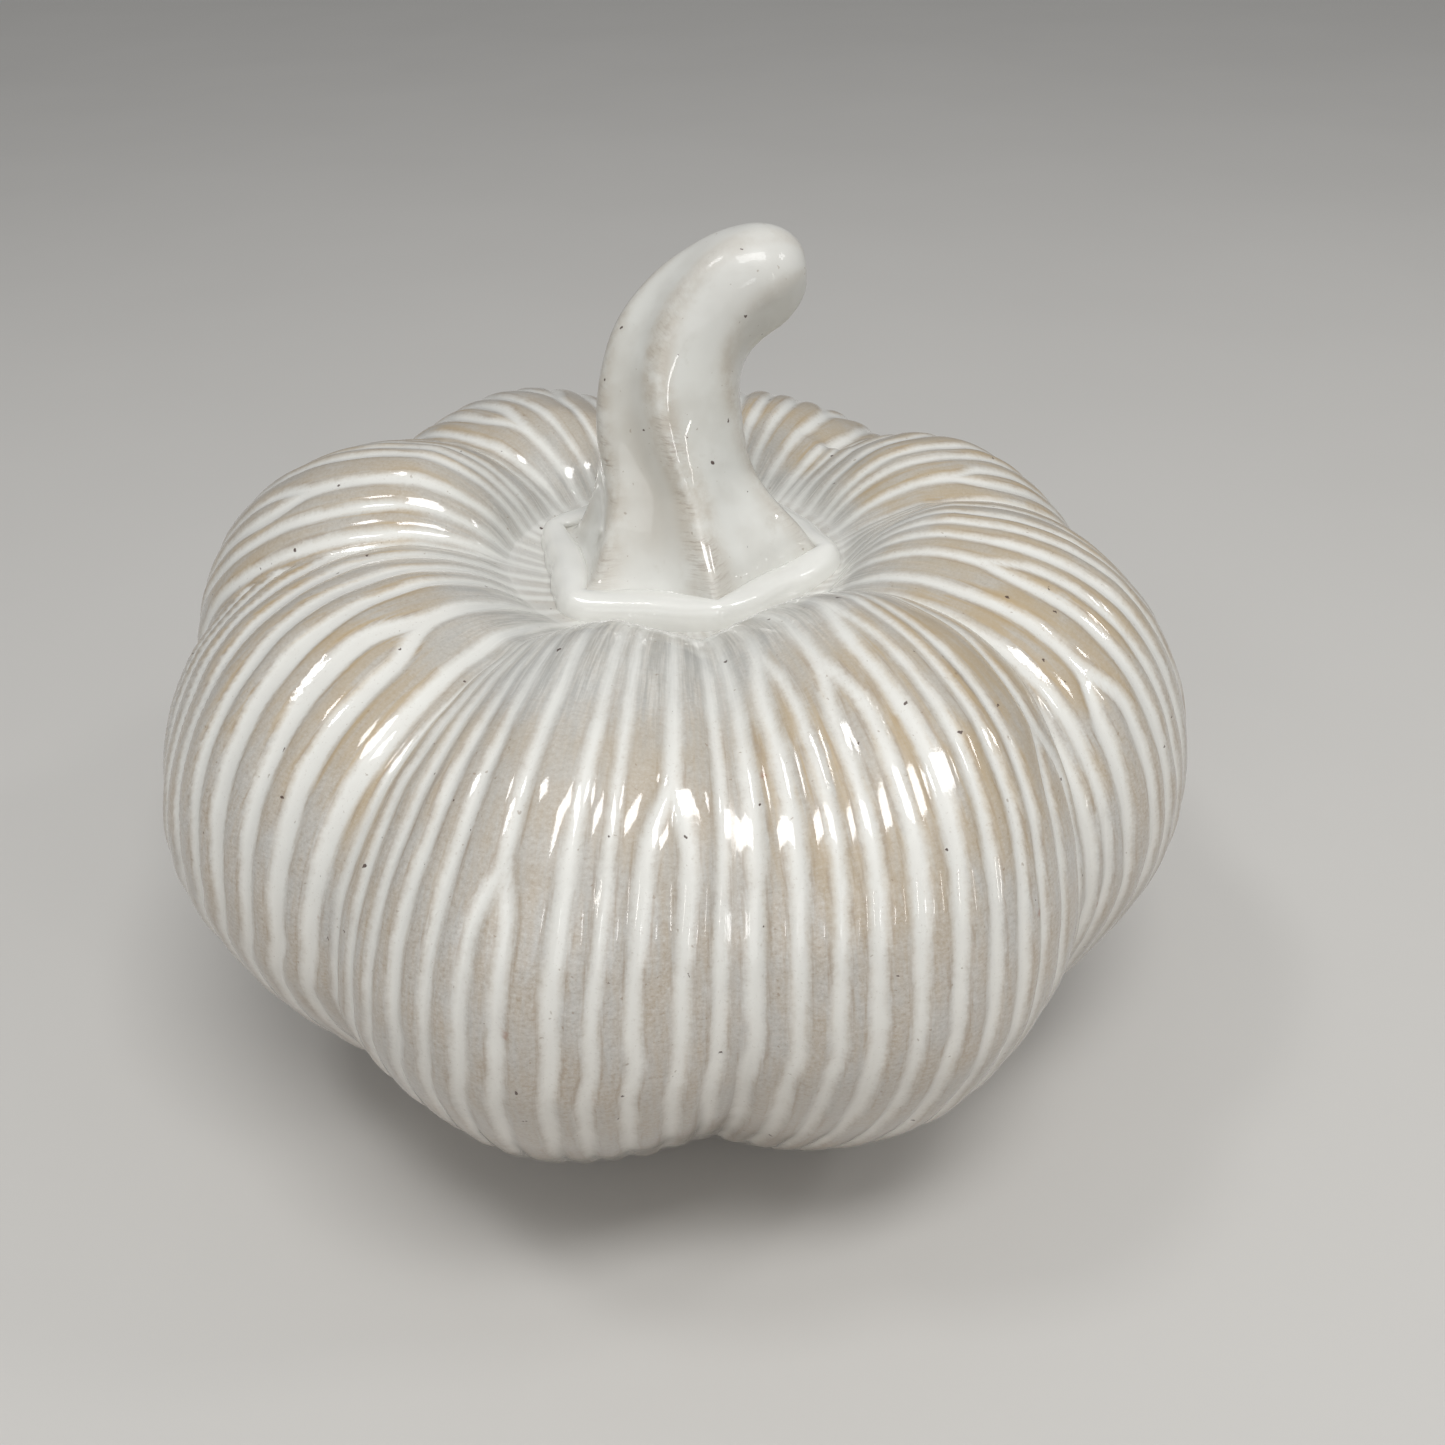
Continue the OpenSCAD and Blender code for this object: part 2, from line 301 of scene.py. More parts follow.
def groove_places(lobe, random):
    places = GROOVES[lobe]
    if isinstance(places, int):
        places = (np.arange(places) + 0.5 + random.uniform(-0.12, 0.12, places)) / places
    return np.array(places)


def groove_lines(lobe, along, random):
    """t of each groove's middle on every row, and the mean gap between grooves in t."""
    places = groove_places(lobe, random)
    rise = smoothstep(76, 143, along)
    spread = 1 + SWING[lobe] * rise
    t = 1 - (1 - places[:, None]) * spread
    t = t - BOW[lobe] * smoothstep(100, 142, along) * np.sin(math.pi * places)[:, None]
    t = t - KINK * smoothstep(KINK_AT, KINK_AT - 9, along)
    for fork_lobe, line, height in FORKS:
        if fork_lobe == lobe:
            close = smoothstep(height - FORK_LENGTH, height, along) ** 1.3
            middle = (t[line] + t[line + 1]) / 2
            t[line], t[line + 1] = mix(t[line], middle, close), mix(t[line + 1], middle, close)
    gap = spread / len(places)
    phase = random.uniform(0, 2 * math.pi, (4, len(places), 1))
    wobble = (0.028 * np.sin(along / 11 + phase[0]) + 0.016 * np.sin(along / 4.3 + phase[1])
              + 0.035 * np.sin(along / 2.3 + phase[2]) * np.exp(-((along - KINK_AT) / 3.5) ** 2))
    return t + wobble * gap, gap, phase[3]


def groove_field(along, radius):
    """Signed distance in millimetres from the nearest white band's edge, negative inside it."""
    random = np.random.default_rng(7)
    edge = np.full(radius.shape, 1e3)
    pitch = np.ones(radius.shape)
    for lobe in range(LOBES):
        columns = column_lobe == lobe
        t, gap, phase = groove_lines(lobe, along, random)
        arc = radius[:, columns] * lobe_width[lobe]
        width = random.uniform(0.86, 1.16, (len(t), 1))
        width = width * (1 + 0.1 * np.sin(along / 13 + phase) + 0.05 * np.sin(along / 4.7 + 2 * phase))
        width = width * (1 - 0.14 * smoothstep(112, 78, along))
        local = np.full(arc.shape, 1e3)
        for line in range(len(t)):
            away = np.abs(column_t[columns] - t[line][:, None]) * arc
            half = WHITE_SHARE[lobe] / 2 * width[line][:, None] * gap[:, None] * arc
            local = np.minimum(local, away - half)
        edge[:, columns] = local
        pitch[:, columns] = gap[:, None] * arc
    return edge, pitch


def pool_field(along, points):
    """0 to 1 where opaque white glaze has pooled round the crown."""
    begin = shared(np.array(POOL_START, float), np.abs(2 * column_t - 1) ** 2)
    uneven = 2.2 * waves(points, 16, 8, 3) + 1.6 * waves(points, 6, 8, 4)
    return smoothstep(-13, 8, along[:, None] - begin + uneven)


def carve(points, edge, pitch, pool):
    """Moves the outside in and out: grooves, rounded lands and the unevenness of a hand."""
    depth = GROOVE_DEPTH * np.minimum(1, pitch / 5) * (1 - 0.45 * pool)
    groove = -depth * (1 - smoothstep(EDGE_IN, EDGE_OUT, edge))
    land = 0.16 * depth * smoothstep(0.4, 2.2, edge)
    lumps = 0.28 * waves(points, 34, 10, 5) + 0.07 * waves(points, 9, 10, 6)
    return points + grid_normals(points) * (groove + land + lumps)[..., None]


# ---- body: the piece -----------------------------------------------------

# The glaze's soft slope in the corner between the lobes and the seat
FILLET_R, FILLET_SLOPE = 21.5, 0.33
# Where the grooves run out under the body, in millimetres along
RUN_OUT = (2, 12)
POOL_ON_SEAT = 0.7


def build_body():
    angles, along = even_angles(OUTER_ROWS)
    r, azimuth, z = body_surface(angles, 0)
    outer = np.stack([r * np.cos(azimuth), r * np.sin(azimuth), z], -1)
    edge, pitch = groove_field(along, r)
    pool = pool_field(along, outer)
    carved_share = smoothstep(*RUN_OUT, along)[:, None, None]
    carved = settle_crown(mix(outer, carve(outer, edge, pitch, pool), carved_share))
    grid = np.concatenate([carved, crown_rows(azimuth[-1:]), inner_rows(), base_rows(azimuth[:1])])
    piece = grid_object("pumpkin_body", grid, True)

    # What the material reads: millimetres across, along, and from the white band's edge
    across = azimuth * BODY_R
    pad = np.ones((len(grid) - len(carved), across.shape[1]))
    store_vector(piece, "flow", np.concatenate([across, pad * across[0]]),
                 np.concatenate([along[:, None] + 0 * across, pad * along[-1]]),
                 np.concatenate([edge, pad * edge[-1]]))
    store_number(piece, "pool", np.concatenate([pool, pad * POOL_ON_SEAT]))
    assign_bare_clay(piece, len(carved), len(grid))
    return piece


def crown_rows(azimuth):
    """The seat under the stem, SEAT_ROWS of it, and the hole through the crown."""
    seat_r = np.array([26.8, 25.4, 24.0, 22.5, 21.0, 18.0, CROWN_HOLE_R + 0.4])
    seat_z = soft_max(SEAT_Z + FILLET_SLOPE * (seat_r - FILLET_R), SEAT_Z, 0.25)
    hole_z = [SEAT_Z - 0.4, SEAT_Z - WALL - CROWN_EXTRA]
    hole = cylinder_rows([CROWN_HOLE_R, CROWN_HOLE_R], hole_z, azimuth)
    return np.concatenate([cylinder_rows(seat_r, seat_z, azimuth), hole])


def inner_rows():
    """The inside of the wall, from the crown hole down."""
    r, azimuth, z = body_surface(np.linspace(180, -90, INNER_ROWS), WALL)
    return np.stack([r * np.cos(azimuth), r * np.sin(azimuth), z], -1)


def base_rows(azimuth):
    """The floor inside, the vent through it, the hollow under it and the foot ring."""
    floor_z = UNDER_Z + WALL
    vent = [(30, floor_z), (VENT_R + 0.4, floor_z), (VENT_R, floor_z - 0.4), (VENT_R, UNDER_Z + 0.4),
            (VENT_R + 0.4, UNDER_Z), (34, UNDER_Z)]
    ring = [(FOOT_RI - 0.3, UNDER_Z - 0.3), (FOOT_RI, FOOT_Z + 0.9), (FOOT_RI + 0.4, FOOT_Z + 0.25),
            (FOOT_RI + 1.4, FOOT_Z), (FOOT_RO - 1.4, FOOT_Z), (FOOT_RO - 0.4, FOOT_Z + 0.25),
            (FOOT_RO, FOOT_Z + 0.9), (FOOT_RO + 0.3, UNDER_Z - 0.3)]
    radii, heights = zip(*(vent + ring))
    return cylinder_rows(radii, heights, azimuth)


def settle_crown(points):
    """Glaze fills the corner where the lobes meet the seat, in a soft slope up from the bead."""
    r = np.hypot(points[..., 0], points[..., 1])
    inside = smoothstep(CREST_R, CREST_R - 4, r) * (points[..., 2] > BELLY_Z)
    slope = SEAT_Z + FILLET_SLOPE * (r - FILLET_R)
    filled = soft_max(points[..., 2], slope, 0.7)
    points = points.copy()
    points[..., 2] = mix(points[..., 2], filled, inside)
    return points


def assign_bare_clay(piece, outer_rows, rows):
    """The inside and the foot are bare clay: the second material slot."""
    columns = LOBES * COLUMNS_PER_LOBE
    index = np.zeros(rows * columns, int)
    index[(outer_rows + SEAT_ROWS) * columns:] = 1
    piece.data.polygons.foreach_set("material_index", index)


# ---- stem ----------------------------------------------------------------

FOOT_CORNERS = [-10, 74, 156, 221, 283]
# How far each corner of the foot reaches, as a part of STEM_FOOT_R
FOOT_REACH = [1.04, 1.0, 1.05, 0.98, 0.95]
STEM_COLUMNS, SHAFT_ROWS, TIP_ROWS = 30, 100, 23
EDGE_H = 2.5
STEM_Z0 = SEAT_Z + EDGE_H
STEM_PATH = np.array([[1.2, STEM_Z0], [2.4, STEM_Z0 + 5.2], [-10.2, STEM_Z0 + 44.5], [22.4, STEM_Z0 + 47.3]])
STEM_FOOT_R, STEM_R, TIP_R, TAPER = 23.0, 12.75, 6.6, 3.2
FLARE_H, FLARE_POWER = 19.3, 1.85
TIP_START, TIP_POWER = 0.912, 2.45
# How deep each side is hollowed, as a part of the radius, and how much of that is left at the tip
SIDE_HOLLOW = [0.17, 0.09, 0.09, 0.23, 0.07]
LEFT_AT_TIP = [1.15, 0.4, 0.4, 0.05, 0.4]
FOOT_HOLLOW = 0.235
# How far the ridges wind round, in degrees, and where along the centre line they start to
TWIST, TWIST_START = -90.0, 0.35
# How far the tip leans back, the part of the centre line that leans, and its drop for each mm
LEAN_BACK, LEAN_SPAN, LEAN_DROP = 10.5, (0.05, 0.77), 0.3
SPIGOT_R, SPIGOT_L = 12.2, 7.0
BORE_R, BORE_TOP = 7.0, SEAT_Z + 10
# The shaft's rough length and its millimetres per degree round, for laying out the glaze
STEM_LENGTH, ROUND_MM = 58, 0.22
# How thin the glaze is over each ridge
BARE_RIDGES = [0.62, 0.6, 0.6, 0.72, 1.0]
# The side whose hollow gets painted shade
PAINTED_SHADE_SIDE = 3


def bezier(path, t):
    t = np.asarray(t, float)[:, None]
    point = ((1 - t) ** 3 * path[0] + 3 * (1 - t) ** 2 * t * path[1]
             + 3 * (1 - t) * t * t * path[2] + t ** 3 * path[3])
    slope = (3 * (1 - t) ** 2 * (path[1] - path[0]) + 6 * (1 - t) * t * (path[2] - path[1])
             + 3 * t * t * (path[3] - path[2]))
    return point, slope / np.linalg.norm(slope, axis=1)[:, None]


def outline_columns(per_side):
    """Azimuth in degrees, and place along the side from corner 0 to corner 1, of each column."""
    corners = FOOT_CORNERS + [FOOT_CORNERS[0] + 360]
    t = np.tile(np.arange(per_side) / per_side, len(FOOT_CORNERS))
    side = np.repeat(np.arange(len(FOOT_CORNERS)), per_side)
    return mix(np.take(corners, side), np.take(corners, side + 1), t), t, side


def between_corners(values, t, side):
    """A value for each column, from the values at the foot's corners."""
    return mix(np.take(values, side), np.take(values, (side + 1) % len(values)), t)


def stem_outline(run_out, radius, t, side):
    """Radius round the five-sided section: sharp corners at the foot, soft ridges above."""
    run_out = np.asarray(run_out, float)[:, None]
    radius = np.asarray(radius, float)[:, None]
    reach = STEM_FOOT_R * between_corners(FOOT_REACH, t, side)
    corner = mix(radius * 1.04, reach, run_out)
    calm = mix(np.take(LEFT_AT_TIP, side), 1, np.clip((radius - TIP_R) / (STEM_R - TIP_R), 0, 1) ** 1.3)
    hollow = mix(np.take(SIDE_HOLLOW, side) * calm, FOOT_HOLLOW, np.sqrt(run_out))
    sharp = mix(1.8, 2.6, run_out)
    return corner * (1 - hollow * (1 - np.abs(2 * t - 1) ** sharp))


def soften(values, reach):
    """Rounds off corners along the last axis, which runs round."""
    total = np.zeros(values.shape)
    weights = 1 - np.abs(np.arange(-reach, reach + 1)) / (reach + 1)
    for step, weight in zip(range(-reach, reach + 1), weights):
        total = total + np.roll(values, step, -1) * weight
    return total / weights.sum()


def stem_steps():
    """Places of the rings along the centre line, 0 to 1, closer together as the tip closes."""
    end = np.sin(np.linspace(0, math.pi / 2, TIP_ROWS + 1))[1:] * (1 - TIP_START) * 0.9995
    return np.concatenate([np.linspace(0, TIP_START, SHAFT_ROWS), TIP_START + end])


def stem_shaft(s, az, t, side):
    """The rings of the shaft, and how much each belongs to the foot's flare, from 1 to 0."""
    centre, direction = bezier(STEM_PATH, s)
    run_out = np.clip(1 - (centre[:, 1] - STEM_Z0) / FLARE_H, 0, 1) ** FLARE_POWER
    closing = np.clip((s - TIP_START) / (1 - TIP_START), 0, 1)
    closing = (1 - closing ** TIP_POWER) ** (1 / TIP_POWER)
    radius = mix(STEM_R, TIP_R, s ** TAPER) * (1 + 0.004 * LEAN_BACK * smoothstep(*LEAN_SPAN, s))
    q = stem_outline(run_out, radius, t, side) * closing[:, None]
    rounder = mix(soften(q, 2), soften(q, 7), smoothstep(0.2, 0.5, s)[:, None])
    q = mix(rounder, q, run_out[:, None] ** 2 * 0.7)
    wound = np.clip((s - TWIST_START) / (1 - TWIST_START), 0, 1)
    turn = np.radians(TWIST) * wound[:, None] ** 1.15
    upright = smoothstep(0.0, 0.14, s)[:, None]
    direction = mix(np.array([0.0, 1.0]), direction, upright)
    shaft = ring_points(centre, direction, q, az + turn)
    lumps = 0.25 * waves(shaft, 22, 8, 11) + 0.05 * waves(shaft, 9, 8, 12)
    steady = (smoothstep(0.0, 0.12, s) * smoothstep(0, 0.5, closing))[:, None]
    shaft = shaft + grid_normals(shaft) * (lumps * steady)[..., None]
    back = LEAN_BACK * smoothstep(*LEAN_SPAN, s)[:, None]
    return shaft + np.stack([0 * back, back, -LEAN_DROP * back], -1), run_out


def stem_underside(az):
    """The rings of the bore and the spigot, from inside out."""
    spigot_z = SEAT_Z - SPIGOT_L
    profile = [(BORE_R * 0.5, BORE_TOP), (BORE_R, BORE_TOP), (BORE_R, BORE_TOP - 1),
               (BORE_R, spigot_z + 0.3), (BORE_R + 0.3, spigot_z), (SPIGOT_R - 0.3, spigot_z),
               (SPIGOT_R, spigot_z + 0.3), (SPIGOT_R, SEAT_Z - 0.1), (SPIGOT_R + 0.2, SEAT_Z)]
    return [np.stack([r * np.cos(az), r * np.sin(az), z + 0 * az], 1) for r, z in profile]


def build_stem():
    azimuth, t, side = outline_columns(STEM_COLUMNS)
    az = np.radians(azimuth)
    s = stem_steps()
    shaft, run_out = stem_shaft(s, az, t, side)
    foot = [np.concatenate([shaft[0][:, :2], np.full((len(az), 1), z)], 1)
            for z in (SEAT_Z, SEAT_Z + 0.8, SEAT_Z + 1.6)]
    below = stem_underside(az)
    grid = np.array(below + foot + list(shaft))
    last = bezier(STEM_PATH, [1.0])[0][0]
    end = (last[0], LEAN_BACK, last[1] - LEAN_DROP * LEAN_BACK)
    piece = grid_object("pumpkin_stem", grid, False, [(0, 0, BORE_TOP), end])

    lead = len(below) + len(foot)
    bare = np.take(BARE_RIDGES, (side + (t > 0.5)) % len(FOOT_CORNERS))
    ridge = np.abs(2 * t - 1) ** 2 * bare
    along = np.concatenate([np.zeros(lead), s * STEM_LENGTH])[:, None] + 0 * az
    store_vector(piece, "flow", np.degrees(az) * ROUND_MM + 0 * along, along, ridge + 0 * along)
    flare = np.concatenate([np.ones(lead), run_out])[:, None] + 0 * az
    tip_zone = np.concatenate([np.zeros(lead), smoothstep(0.66, 0.9, s)])[:, None] + 0 * az
    # Painted shade in the hollow of that side, partway up the shaft, for the material to darken
    hollow_painted_shade = np.where(side == PAINTED_SHADE_SIDE, 1 - np.abs(2 * t - 1) ** 1.5, 0)
    hollow_painted_shade = hollow_painted_shade * smoothstep(8, 16, along) * smoothstep(40, 28, along)
    store_vector(piece, "zone", flare, tip_zone, hollow_painted_shade)
    index = np.zeros(len(piece.data.polygons), int)
    index[:(len(below) - 1) * len(az)] = 1
    piece.data.polygons.foreach_set("material_index", index)
    return piece


def ring_points(centre, direction, q, az):
    """Rings square to the centre line, which lies in the XZ plane."""
    side = q * np.cos(az)
    x = centre[:, :1] + side * direction[:, 1:]
    y = q * np.sin(az) + 0 * side
    z = centre[:, 1:] - side * direction[:, :1]
    return np.stack([x, y, z], -1)


# ---- bead of slip round the stem's foot ----------------------------------

# The bead's reach at the foot's corners, its height, and the part of that height at each corner
BEAD_CORNERS, BEAD_TOP = [27.5, 27.5, 27.7, 26.4, 24.2], 5.0
BEAD_HEIGHTS = [1.0, 1.0, 1.0, 1.0, 0.86]
# How far it runs in under the stem's surface
BEAD_LAP = 0.35
BEAD_COLUMNS = 48


def build_collar():
    azimuth, t, side = outline_columns(BEAD_COLUMNS)
    az = np.radians(azimuth)

    def stem_radius(height):
        run_out = max(0, 1 - max(0, height - EDGE_H) / FLARE_H) ** FLARE_POWER
        return stem_outline([run_out], [STEM_R], t, side)[0]

    outer = between_corners(BEAD_CORNERS, t, side)
    outer = soften(outer * (1 - 0.16 * (1 - np.abs(2 * t - 1) ** 1.8)), 7)
    place = np.stack([outer * np.cos(az), outer * np.sin(az), 0 * az], 1)
    outer = outer + 0.5 * waves(place, 21, 8, 21) + 0.2 * waves(place, 8, 8, 24)
    height = BEAD_TOP * between_corners(BEAD_HEIGHTS, t, side)
    height = height * (1 + 0.08 * waves(place, 23, 8, 22) + 0.03 * waves(place, 8, 8, 23))
    # The section, as parts of the width and the height: up beside the stem, over and down
    turn = np.radians(np.linspace(0, 158, 25))
    across = np.concatenate([[0.05, 0.0], 0.5 - 0.5 * np.cos(turn), [0.99, 1.01, 1.03, 1.045, 1.05, 1.0]])
    up = np.concatenate([[-0.04, 0.1], 0.62 + 0.38 * np.sin(turn[:13]) ** 0.9,
                         np.sin(turn[13:]) ** 0.75, [0.42, 0.28, 0.12, -0.05, -0.25, -0.4]])
    rows = []
    for w, h in zip(across, up):
        inner = stem_radius(h * BEAD_TOP) - BEAD_LAP
        r = inner + w * (outer - inner)
        rows.append(np.stack([STEM_PATH[0][0] + r * np.cos(az), r * np.sin(az), SEAT_Z + h * height], 1))
    piece = grid_object("slip_bead", np.array(rows), True)
    flip_if_inside_out(piece)
    return piece


# ---- felt ring -----------------------------------------------------------

FELT_COLUMNS = 200


def build_felt():
    points = cad_points("felt_ring")
    reach = np.hypot(points[:, 0], points[:, 1])
    inner, outer = reach.min(), reach.max()
    thick = cad_box("felt_ring")[1][2]
    az = np.radians(np.arange(FELT_COLUMNS) * 360 / FELT_COLUMNS)
    round_r = thick * 0.42
    section = [(inner + round_r, 0), (mix(inner, outer, 0.35), 0), (mix(inner, outer, 0.65), 0),
               (outer - round_r, 0), (outer - 0.3 * round_r, 0.12 * thick), (outer, 0.45 * thick),
               (outer - 0.1, thick), (mix(inner, outer, 0.65), thick), (mix(inner, outer, 0.35), thick),
               (inner + 0.1, thick), (inner, 0.45 * thick), (inner + 0.3 * round_r, 0.12 * thick)]
    rows = []
    for k, (r, z) in enumerate(section):
        place = np.stack([r * np.cos(az), r * np.sin(az), z + 0 * az], 1)
        fuzz = 0.12 * waves(place, 5, 8, 30 + k) * (1 if z < thick else 0)
        radius = r + fuzz
        rows.append(np.stack([radius * np.cos(az), radius * np.sin(az), z + 0 * az], 1))
    piece = grid_object("felt_foot_ring", np.array(rows), True)
    flip_if_inside_out(piece)
    return piece


def flip_if_inside_out(piece):
    """Turns every face round if the mesh's volume comes out negative."""
    mesh = piece.data
    volume = 0.0
    for face in mesh.polygons:
        corners = [mesh.vertices[v].co for v in face.vertices]
        for k in range(1, len(corners) - 1):
            volume += corners[0].dot(corners[k].cross(corners[k + 1]))
    if volume < 0:
        mesh.flip_normals()


# ---- node helpers for the materials --------------------------------------

def new_material(name):
    material = bpy.data.materials.new(name)
    material.use_nodes = True
    tree = material.node_tree
    return material, tree, tree.nodes["Principled BSDF"]


def plug(tree, value, socket):
    """Links a socket, or sets a plain number, vector or colour."""
    if isinstance(value, bpy.types.NodeSocket):
        tree.links.new(value, socket)
    else:
        socket.default_value = value


def math_node(tree, operation, a, b=0.0, c=0.0, clamp=False):
    node = tree.nodes.new("ShaderNodeMath")
    node.operation = operation
    node.use_clamp = clamp
    for socket, value in zip(node.inputs, (a, b, c)):
        plug(tree, value, socket)
    return node.outputs[0]


def ramp_between(tree, value, low, high, to_low=0.0, to_high=1.0):
    """Smooth step of value from low to high, onto to_low to to_high."""
    node = tree.nodes.new("ShaderNodeMapRange")
    node.interpolation_type = "SMOOTHSTEP"
    for socket, number in zip(node.inputs, (value, low, high, to_low, to_high)):
        plug(tree, number, socket)
    return node.outputs[0]


def mix_colour(tree, factor, a, b):
    node = tree.nodes.new("ShaderNodeMix")
    node.data_type = "RGBA"
    plug(tree, factor, node.inputs[0])
    plug(tree, a, node.inputs[6])
    plug(tree, b, node.inputs[7])
    return node.outputs[2]


def tint(tree, colour, towards, mask, strength):
    """Colour mixed towards another where the mask is 1, by no more than that strength."""
    return mix_colour(tree, math_node(tree, "MULTIPLY", mask, strength), colour, towards)


def attribute_parts(tree, name):
    """The three numbers of a stored per-vertex vector."""
    source = tree.nodes.new("ShaderNodeAttribute")
    source.attribute_name = name
    split = tree.nodes.new("ShaderNodeSeparateXYZ")
    tree.links.new(source.outputs["Vector"], split.inputs[0])
    return split.outputs[0], split.outputs[1], split.outputs[2]


def attribute_number(tree, name):
    """A stored per-vertex number."""
    source = tree.nodes.new("ShaderNodeAttribute")
    source.attribute_name = name
    return source.outputs["Fac"]


def place_in_mm(tree):
    """Position on the object in millimetres."""
    source = tree.nodes.new("ShaderNodeTexCoord")
    scale = tree.nodes.new("ShaderNodeVectorMath")
    scale.operation = "SCALE"
    tree.links.new(source.outputs["Object"], scale.inputs[0])
    scale.inputs["Scale"].default_value = 1 / MM
    return scale.outputs[0]


def away_from_plane(tree, place, x_mm, near, far):
    """0.2 close to the plane at that X, rising to 1 away from it."""
    split = tree.nodes.new("ShaderNodeSeparateXYZ")
    tree.links.new(place, split.inputs[0])
    distance = math_node(tree, "ABSOLUTE", math_node(tree, "SUBTRACT", split.outputs[0], x_mm))
    return ramp_between(tree, distance, near, far, 0.2, 1.0)


def noise(tree, place, size, detail=2.0, rough=0.5, distortion=0.0):
    """Noise of 0 to 1 whose features are about size millimetres across."""
    node = tree.nodes.new("ShaderNodeTexNoise")
    tree.links.new(place, node.inputs["Vector"])
    node.inputs["Scale"].default_value = 1 / size
    node.inputs["Detail"].default_value = detail
    node.inputs["Roughness"].default_value = rough
    node.inputs["Distortion"].default_value = distortion
    return node.outputs[0]


def specks(tree, place, spacing, radius, soft):
    """1 inside scattered dots of up to that radius, in millimetres; most are much smaller."""
    node = tree.nodes.new("ShaderNodeTexVoronoi")
    node.feature = "F1"
    tree.links.new(place, node.inputs["Vector"])
    node.inputs["Scale"].default_value = 1 / spacing
    near = math_node(tree, "MULTIPLY", node.outputs["Distance"], spacing)
    chance = tree.nodes.new("ShaderNodeSeparateColor")
    tree.links.new(node.outputs["Color"], chance.inputs[0])
    size = math_node(tree, "POWER", chance.outputs[0], 2.2)
    size = math_node(tree, "MULTIPLY", size, radius)
    inside = math_node(tree, "SUBTRACT", size, near)
    return ramp_between(tree, inside, 0.0, soft)


def stretched(tree, across, along, depth, across_mm, along_mm):
    """A place for noise whose features are across_mm wide and along_mm long on the surface."""
    node = tree.nodes.new("ShaderNodeCombineXYZ")
    sizes = (across_mm, along_mm, across_mm)
    for socket, value, size in zip(node.inputs, (across, along, depth), sizes):
        plug(tree, math_node(tree, "MULTIPLY", value, 1 / size), socket)
    return node.outputs[0]


def rough_place(tree, place, size, amount):
    """Place pushed about by noise, so that dots come out uneven."""
    node = tree.nodes.new("ShaderNodeTexNoise")
    tree.links.new(place, node.inputs["Vector"])
    node.inputs["Scale"].default_value = 1 / size
    node.inputs["Detail"].default_value = 1.0
    shift = tree.nodes.new("ShaderNodeVectorMath")
    shift.operation = "MULTIPLY_ADD"
    tree.links.new(node.outputs["Color"], shift.inputs[0])
    shift.inputs[1].default_value = (amount,) * 3
    tree.links.new(place, shift.inputs[2])
    return shift.outputs[0]


def bump(tree, height, strength, distance_mm, *sockets):
    """Bump from a height of 0 to 1, fed to each of those normal sockets."""
    node = tree.nodes.new("ShaderNodeBump")
    node.inputs["Strength"].default_value = strength
    node.inputs["Distance"].default_value = distance_mm * MM
    tree.links.new(height, node.inputs["Height"])
    for socket in sockets:
        tree.links.new(node.outputs[0], socket)


def rgb(red, green, blue):
    """A colour given as it looks on screen, 0 to 255, as the linear values that shaders use."""
    def linear(value):
        value = value / 255
        return value / 12.92 if value <= 0.04045 else ((value + 0.055) / 1.055) ** 2.4
    return linear(red), linear(green), linear(blue), 1.0


def glossy_glaze(bsdf, roughness):
    """A clear, fired glaze: a soft body under a sharp coat."""
    bsdf.inputs["Roughness"].default_value = roughness
    bsdf.inputs["IOR"].default_value = 1.5
    bsdf.inputs["Coat Weight"].default_value = 1.0
    bsdf.inputs["Coat Roughness"].default_value = 0.03
    bsdf.inputs["Coat IOR"].default_value = 1.52


# ---- materials -----------------------------------------------------------

WHITE = rgb(229, 229, 223)
CREAM = rgb(224, 222, 216)
POOL_WHITE = rgb(208, 208, 203)
POOL_GREY = rgb(166, 166, 161)
VEILED_GROOVE = rgb(222, 222, 217)
CROWN_WHITE = rgb(232, 232, 228)
COOL_LAND = rgb(188, 186, 181)
WARM_LAND = rgb(184, 173, 158)
PALE_LAND = rgb(204, 200, 193)
# Painted shade with warm painted bounce light, for the lands low down
LOW_LAND_PAINTED_SHADE = rgb(147, 130, 112)
SHOULDER_LAND = rgb(172, 163, 147)
RIGHT_LAND = rgb(178, 161, 131)
# Painted shade with warm painted bounce light, for the white low down
LOW_WHITE_PAINTED_SHADE = rgb(218, 208, 195)
OCHRE = rgb(178, 154, 114)
EDGE_BROWN = rgb(128, 104, 78)
IRON = rgb(58, 26, 11)
RUST = rgb(142, 86, 54)
STEM_PALE, STEM_GREY = rgb(218, 218, 212), rgb(208, 207, 200)
# The first is painted shade for one side's hollow; the second is the thick white at the foot
STEM_PAINTED_SHADE, STEM_FLARE = rgb(181, 174, 161), rgb(226, 226, 222)
STEM_SMUDGE, STEM_BEIGE = rgb(176, 170, 156), rgb(182, 172, 156)
STEM_BREAK, STEM_TIP = rgb(124, 100, 78), rgb(205, 204, 199)
SLIP_WHITE, SLIP_SHADE = rgb(230, 230, 225), rgb(220, 219, 213)
CLAY_LIGHT, CLAY_DARK, CLAY_GRIT = rgb(190, 168, 138), rgb(172, 148, 118), rgb(150, 126, 98)
FELT_DARK, FELT_LIGHT = rgb(122, 110, 94), rgb(168, 154, 134)
FLOOR_LIGHT, FLOOR_DARK = rgb(206, 204, 200), rgb(200, 198, 194)


def iron_specks(tree, place, colour):
    """Iron in the clay that burns through the glaze: pepper, dark dots and a few rusty spots."""
    uneven = rough_place(tree, place, 0.6, 0.8)
    wide = rough_place(tree, place, 1.4, 1.4)
    colour = tint(tree, colour, RUST, specks(tree, wide, 12.0, 1.2, 0.7), 0.55)
    colour = tint(tree, colour, EDGE_BROWN, specks(tree, uneven, 1.5, 0.27, 0.12), 0.45)
    return tint(tree, colour, IRON, specks(tree, uneven, 3.3, 0.40, 0.10), 0.9)


